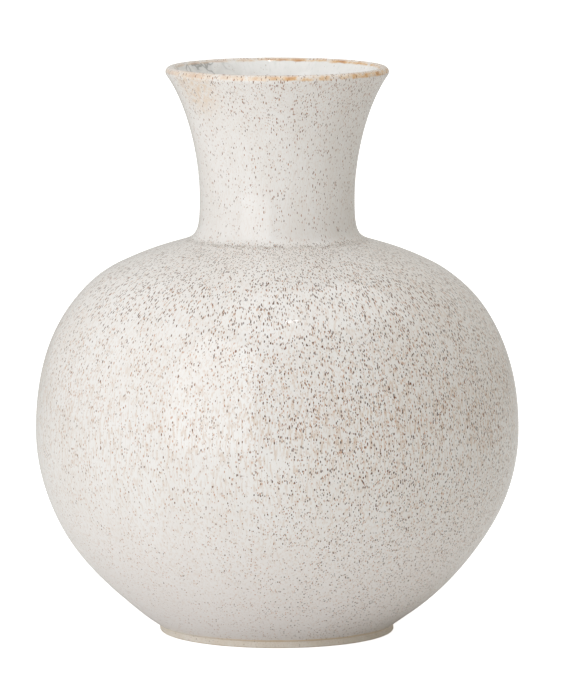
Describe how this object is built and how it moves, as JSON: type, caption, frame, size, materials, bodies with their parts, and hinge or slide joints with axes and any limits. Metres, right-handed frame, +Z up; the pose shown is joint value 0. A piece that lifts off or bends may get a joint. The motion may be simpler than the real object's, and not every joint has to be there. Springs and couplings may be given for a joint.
{
  "type": "stoneware vase",
  "caption": "Round-bellied stoneware vase with a flared collar neck, a speckled off-white glaze and a bare clay foot ring.",
  "frame": {"origin": "centre of the circle that the foot ring stands on", "axes": "+Z up along the vase's axis of revolution, from the foot ring to the lip; X and Y are level and alike"},
  "size_m": [0.239, 0.239, 0.28],
  "materials": {
    "bare_clay": "unglazed, smooth matte",
    "clay_body": "fired stoneware under the glaze",
    "outer_glaze": "glossy off-white with iron speckle and an amber lip",
    "liner_glaze": "glossy pale grey-white"
  },
  "bodies": {
    "root": {"foot_ring": "bare_clay", "lower_bowl": "clay_body", "upper_bowl": "clay_body", "neck_collar": "clay_body", "outer_glaze": "outer_glaze", "liner_glaze": "liner_glaze"}
  },
  "joints": []
}
